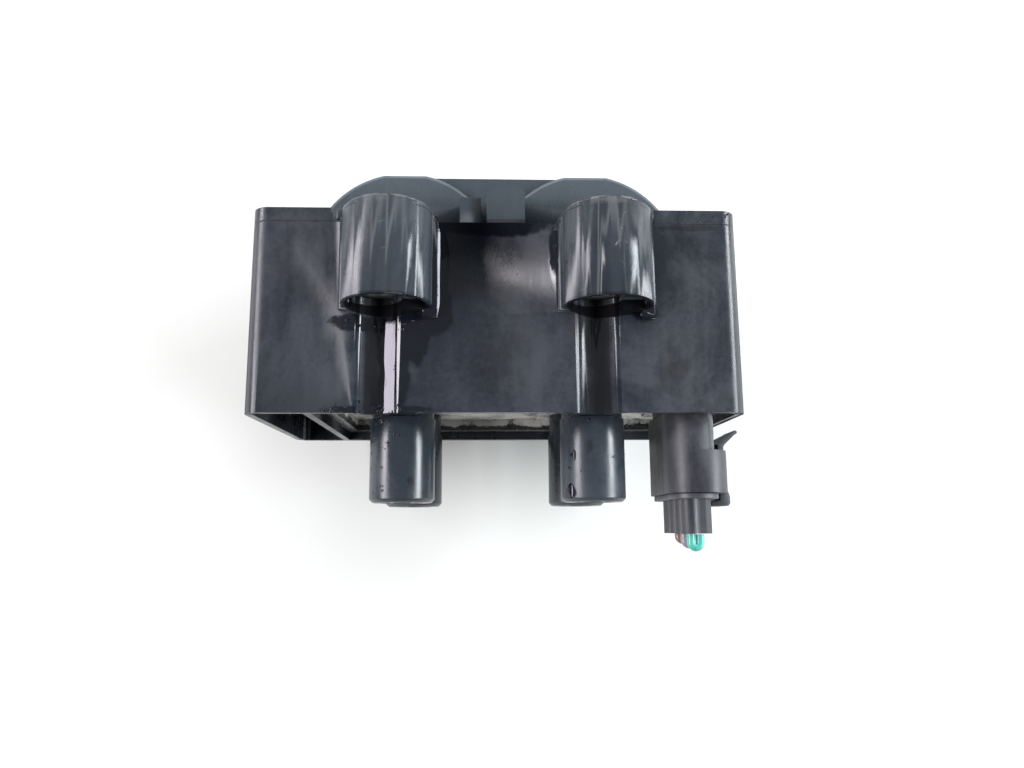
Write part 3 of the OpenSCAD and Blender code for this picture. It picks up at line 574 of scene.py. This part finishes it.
materials = {
    # The case's fill has real wear, dust and oil, with painted shade and painted light
    "case": plasticMaterial("case_plastic_wear_and_painted_light", darkGrey, 0.18, 0.35, 0.31, 1.0, 0.00005,
                            wetPlaces, dustPlaces, paintedShadePlaces, scratchPlaces, caseShadeAndLightBoxes, baseLine,
                            satinPlaces, paintedShadeUnderBosses),
    "tower": plasticMaterial("tower_plastic_worn", (0.0125, 0.0175, 0.0235), 0.12, 0.35, 0.27, 0.8, 0.00003,
                             dark=towerSpots, wet=towerWet),
    # Painted highlight: a paler tone for the rounded ends of the domes
    "case_edge": plasticMaterial("case_edge_painted_highlight", (0.075, 0.092, 0.105), 0.3, 0.1, 0.36),
    "header": plasticMaterial("header_plastic_worn", (0.022, 0.027, 0.032), 0.35, 0.2, 0.24),
    "plug": plasticMaterial("plug_plastic_worn", (0.015, 0.016, 0.020), 0.26, 0.25, 0.42, 1.8, 0.00005),
    "latch": plasticMaterial("latch_plastic_worn", (0.024, 0.026, 0.031), 0.25, 0.1, 0.42, 1.3),
    "lock": plasticMaterial("lock_plastic_worn", (0.038, 0.040, 0.046), 0.3, 0.1, 0.45, 1.3),
    "bobbin": plasticMaterial("bobbin_plastic_clean", (0.55, 0.48, 0.34), 0.1, 0.1, 0.4, 0.6),
    "shim": plasticMaterial("shim_film_clean", (0.68, 0.62, 0.46), 0.1, 0.05, 0.3, 0.4),
    "seal": plasticMaterial("seal_rubber_brown", (0.16, 0.07, 0.035), 0.25, 0.2, 0.6, 0.8),
    "wire_seal": plasticMaterial("seal_rubber_green", (0.12, 0.16, 0.06), 0.25, 0.2, 0.6, 0.8),
    "resin": resinMaterial(),
    "oil": oilMaterial(),
    "core": metalMaterial("lamination_steel_stack", (0.40, 0.41, 0.43), 0.4, 1.0, 0.3),
    "bush": metalMaterial("bush_steel_zinc", (0.52, 0.52, 0.50), 0.34, 0.0, 0.45),
    "brass": metalMaterial("terminal_brass_worn", (0.62, 0.44, 0.18), 0.3, 0.0, 0.35),
    "primary": woundMaterial("primary_copper_turns", (0.45, 0.14, 0.045), 0.00035),
    "secondary": woundMaterial("secondary_copper_turns", (0.30, 0.09, 0.03), 0.0001),
    "wire_green": wireMaterial("wire_green_insulation", (0.055, 0.36, 0.29), 0.45),
    "wire_grey": wireMaterial("wire_grey_insulation", (0.20, 0.175, 0.21), 0.6),
    "wire_brown": wireMaterial("wire_brown_insulation", (0.17, 0.10, 0.07), 0.6),
}


def kindOf(name):
    for start, kind in (("case", "case"), ("potting", "resin"), ("core", "core"), ("mounting", "bush"),
                        ("gap_shim", "shim"), ("primary_b", "bobbin"), ("secondary_b", "bobbin"),
                        ("primary_w", "primary"), ("secondary_w", "secondary"), ("tower", "tower"),
                        ("ht_term", "brass"), ("connector", "header"), ("plug_housing", "plug"),
                        ("plug_seal", "seal"), ("plug_rear", "lock"), ("plug_latch", "latch"),
                        ("wire_seals", "wire_seal"), ("header_pin", "brass"), ("plug_term", "brass")):
        if name.startswith(start):
            return kind
    return name


for name, cadNode in nodes.items():
    for slot in cadNode.material_slots:
        slot.material = materials[kindOf(name)]
print("materials ready")


# Sizes of the case and towers that the edges and the oil fit to, in mm

wallZ = 29.0
rimLevel = -45.5
channelX = 24.65
channelZ = 32.0
channelR = 5.9
bossEnd = -24.6
towerX = {"left": -19.75, "right": 24.45}
towerZ = 16.95
towerR = 7.5
webs = {"left": -12.0, "right": 14.0, "top": 8.0}


def addPiece(name, bm, fills, sharpAngle):
    # Turns a finished bmesh into a smooth piece with crisp edges above the angle
    bmesh.ops.recalc_face_normals(bm, faces=bm.faces)
    for face in bm.faces:
        face.smooth = True
    mesh = bpy.data.meshes.new(name)
    bm.to_mesh(mesh)
    bm.free()
    mesh.set_sharp_from_angle(angle=math.radians(sharpAngle))
    piece = bpy.data.objects.new(name, mesh)
    scene.collection.objects.link(piece)
    for fill in fills:
        mesh.materials.append(fill)
    return piece


# Moulded edges: copies of the CAD shells with small radii

def roundedCopy(name, width, segments=2, wide=None):
    # wide is a test for the edges that get a larger radius, and that radius
    source = nodes[name]
    bm = bmesh.new()
    bm.from_mesh(source.data)
    bmesh.ops.remove_doubles(bm, verts=bm.verts, dist=0.000001)
    bmesh.ops.dissolve_limit(bm, angle_limit=math.radians(0.5), verts=bm.verts, edges=bm.edges)
    sharpest = math.radians(35)
    edges = [e for e in bm.edges if len(e.link_faces) == 2 and e.calc_face_angle(0) > sharpest]
    kind = kindOf(name)
    fills = [materials[kind]]
    # The wide edges get the second fill, whose paler tone is a painted highlight
    if wide:
        isWide, radius = wide
        fills.append(materials[kind + "_edge"])
        chosen = [e for e in edges if isWide(e)]
        edges = [e for e in edges if not isWide(e)]
        made = bmesh.ops.bevel(bm, geom=chosen, offset=radius, offset_type="OFFSET", segments=4,
                               profile=0.5, affect="EDGES", clamp_overlap=False, material=-1,
                               loop_slide=False)
        for face in made["faces"]:
            face.material_index = 1
        done = set(made["edges"])
        edges = [e for e in edges if e.is_valid and e not in done]
    bmesh.ops.bevel(bm, geom=edges, offset=width, offset_type="OFFSET", segments=segments,
                    profile=0.5, affect="EDGES", clamp_overlap=True, material=-1, loop_slide=True)
    piece = addPiece(name + "_moulded", bm, fills, 40)
    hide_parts(name)
    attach(piece, body_of(source)[0])


def domeEnd(edge):
    # The long curved edges round the two ends of the domes, clear of the webs between them
    ends = [v.co for v in edge.verts]
    byWeb = any(webs["left"] < c.x / mm < webs["right"] and c.y / mm < webs["top"] for c in ends)
    return not byWeb and all(abs(abs(c.z) - domeEndZ) < 0.0001 and c.y > 0.0012 for c in ends)


roundedCopy("case", 0.00045, 3, wide=(domeEnd, 0.0009))
print("case edges rounded")
for side in ("left", "right"):
    for end in ("front", "rear"):
        roundedCopy("tower_" + side + "_" + end, 0.0003)
roundedCopy("connector_header", 0.00025)
roundedCopy("plug_housing", 0.0002)
roundedCopy("plug_rear_lock", 0.0002)
roundedCopy("plug_latch", 0.00025)
print("small parts rounded")


# Oil: a sheet in the left channel, beads in the corners and drops

def finishPiece(name, bm, sharpAngle=50, material="oil"):
    piece = addPiece(name, bm, [materials[material]], sharpAngle)
    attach(piece, "coil")


sheet = {"tilt": 27.5, "spread": 17.0, "skin": 0.12}


def lens(bm, rings):
    # Joins rings of points into one closed skin with flat ends
    rows = [[bm.verts.new(p) for p in ring] for ring in rings]
    for a, b in zip(rows, rows[1:]):
        for i in range(len(a)):
            j = (i + 1) % len(a)
            bm.faces.new((a[i], a[j], b[j], b[i]))
    bm.faces.new(rows[0])
    bm.faces.new(list(reversed(rows[-1])))


def onChannel(angle, radius):
    return Vector((math.sin(angle), 0, -math.cos(angle))) * radius


def makeOilSheet():
    # Its face is nearly flat across the channel, and its back follows the channel's round wall
    bm = bmesh.new()
    rings = []
    steps = 36
    count = 14
    for k in range(steps + 1):
        t = k / steps
        y = bossEnd + (rimLevel - bossEnd) * t
        wander = noise.noise((3.1, t * 4.0, 0.0)) * 2.0
        half = sheet["spread"] * (0.86 + 0.18 * noise.noise((0.4, t * 6.0, 2.0)))
        first = math.radians(sheet["tilt"] - half + wander * 1.6)
        last = math.radians(sheet["tilt"] + half * 0.9 + wander * 0.4)
        ring = []
        for i in range(count + 1):
            s = i / count
            chord = onChannel(first, channelR).lerp(onChannel(last, channelR), s)
            bulge = math.sin(math.pi * s)
            ring.append(chord * (1 - 0.003 * bulge * (1 + 0.8 * noise.noise((s * 2, t * 5, 5.0)))))
        for i in range(count, -1, -1):
            angle = first + (last - first) * i / count
            ring.append(onChannel(angle, channelR + sheet["skin"]))
        rings.append([Vector((p.x - channelX, y, channelZ + p.z)) * mm for p in ring])
    lens(bm, rings)
    finishPiece("oil_sheet_left_channel", bm, sharpAngle=30)


def makeBead(name, path, radius, seed):
    # A thin bead of oil along a corner, with an uneven thickness
    bm = bmesh.new()
    rings = []
    sides = 10
    for k, (point, nextPoint) in enumerate(zip(path, path[1:] + [path[-1]])):
        centre = Vector(point)
        along = (Vector(nextPoint) - centre) if nextPoint != point else centre - Vector(path[k - 1])
        along.normalize()
        side = along.cross(Vector((0, 0, 1)))
        side.normalize()
        up = side.cross(along)
        taper = min(1.0, 0.25 + 3.0 * min(k, len(path) - 1 - k) / len(path))
        r = radius * taper * (1 + 0.35 * noise.noise((seed, k * 0.55, 0.3)))
        rings.append([(centre + side * r * math.cos(a) + up * r * math.sin(a)) * mm
                      for a in (2 * math.pi * i / sides for i in range(sides))])
    lens(bm, rings)
    finishPiece(name, bm)


def makeFillet(name, x, ends, wide, tall, seed):
    # A sliver of oil that fills the corner between a boss's flange and the wall
    bm = bmesh.new()
    rings = []
    steps = 30
    buried = 0.3
    away = 1 if wide > 0 else -1
    for k in range(steps + 1):
        t = k / steps
        y = ends[0] + (ends[1] - ends[0]) * t
        taper = min(1.0, 0.2 + 7 * min(t, 1 - t)) * (1 + 0.22 * noise.noise((seed, t * 7.0, 0.3)))
        w, h = wide * taper, tall * taper
        outline = [(-away * buried, -buried), (w, -buried), (w, 0.02), (w * 0.55, h * 0.42),
                   (0.0, h), (-away * buried, h * 0.8)]
        rings.append([Vector((x + a, y, wallZ + b)) * mm for a, b in outline])
    lens(bm, rings)
    finishPiece(name, bm)


def makeFlangeTip():
    # Small rounded end of the left boss's flange beside the lip
    centre = (-33.75, -0.1, wallZ - 0.1)
    size = (1.7, 2.6, 1.5)
    bm = bmesh.new()
    bmesh.ops.create_cube(bm, size=1.0)
    for v in bm.verts:
        v.co = Vector([c + a * b for c, a, b in zip(centre, v.co, size)]) * mm
    bmesh.ops.bevel(bm, geom=list(bm.edges), offset=0.00045, offset_type="OFFSET", segments=3,
                    profile=0.5, affect="EDGES", clamp_overlap=True, material=-1)
    finishPiece("flange_tip_left", bm, material="tower")


def straight(first, last, count):
    return [tuple(a + (b - a) * i / count for a, b in zip(first, last)) for i in range(count + 1)]


def addDrop(bm, turn, size):
    bmesh.ops.create_icosphere(bm, subdivisions=3, radius=1.0, matrix=turn @ Matrix.Diagonal((*size, 1)))


def makeDrops():
    # Along the rim, under the left boss, and beside the base at the right
    bm = bmesh.new()
    dice = random.Random(7)
    places = []
    for _ in range(34):
        places.append((dice.uniform(-37, -17), rimLevel + abs(dice.gauss(0, 0.9)), dice.uniform(0.15, 0.45)))
    for _ in range(16):
        places.append((dice.uniform(-34, -12), dice.uniform(-27, bossEnd), dice.uniform(0.15, 0.4)))
    for _ in range(10):
        places.append((dice.uniform(40, 56), dice.uniform(-1.0, 1.0), dice.uniform(0.12, 0.3)))
    for x, y, r in places:
        z = wallZ
        off = abs(x) - channelX
        if abs(off) < channelR + 0.2 and y < -20:
            z = min(wallZ, channelZ - math.sqrt(max(0.0, channelR ** 2 - off ** 2)))
        underBoss = -35.2 < x < -12.6 and -23 < y
        if underBoss:
            continue
        turn = Matrix.Translation(Vector((x, y, z)) * mm)
        addDrop(bm, turn, (r * mm * dice.uniform(0.8, 1.6), r * mm * dice.uniform(0.8, 1.3), r * mm * 0.5))
    finishPiece("oil_drops_case", bm, sharpAngle=80)


def onTower(side, y, angle, radius):
    # A place on a front tower's wall, turned so that its Z points out of the wall
    out = Vector((math.sin(angle), 0, math.cos(angle)))
    centre = Vector((towerX[side], y, towerZ)) + out * radius
    return Matrix.Translation(centre * mm) @ out.to_track_quat("Z", "Y").to_matrix().to_4x4()


def makeTowerDrops():
    bm = bmesh.new()
    dice = random.Random(21)
    for side, count in (("left", 22), ("right", 8)):
        for _ in range(count):
            angle = math.radians(dice.gauss(-38, 22) if side == "left" else dice.uniform(-60, 60))
            y = dice.uniform(-63, -46.5)
            r = dice.uniform(0.12, 0.34)
            addDrop(bm, onTower(side, y, angle, towerR), (r * mm, r * mm * dice.uniform(0.9, 1.8), r * mm * 0.45))
    for y, angle, wide, tall in ((-54.6, -41, 1.3, 0.5), (-62.6, -50, 1.8, 1.1)):
        addDrop(bm, onTower("right", y, math.radians(angle), towerR - 0.05), (wide * mm, tall * mm, 0.35 * mm))
    finishPiece("oil_drops_towers", bm, 80)


makeOilSheet()
makeFillet("oil_fillet_left_boss", -11.55, (-1.6, -24.2), 0.62, 0.47, 1.5)
makeFillet("oil_fillet_right_boss", 15.85, (-2.6, -10.0), -0.95, 0.5, 4.5)
makeFillet("oil_fillet_right_boss_low", 15.85, (-10.2, -22.4), -0.4, 0.22, 6.5)
makeFillet("oil_fillet_left_flange", -33.45, (-2.4, -22.6), -0.3, 0.16, 9.5)
makeFillet("oil_fillet_right_flange", 37.75, (-2.4, -22.6), 0.3, 0.22, 12.5)
makeFlangeTip()
beadZ = 28.85
makeBead("oil_bead_rim_left", straight((-38.0, rimLevel, beadZ), (-30.4, rimLevel, beadZ), 16), 0.2, 8.5)
makeBead("oil_bead_rim_right", straight((-18.9, rimLevel, beadZ), (-12.0, rimLevel, beadZ), 16), 0.2, 3.5)
makeDrops()
makeTowerDrops()
print("oil ready")
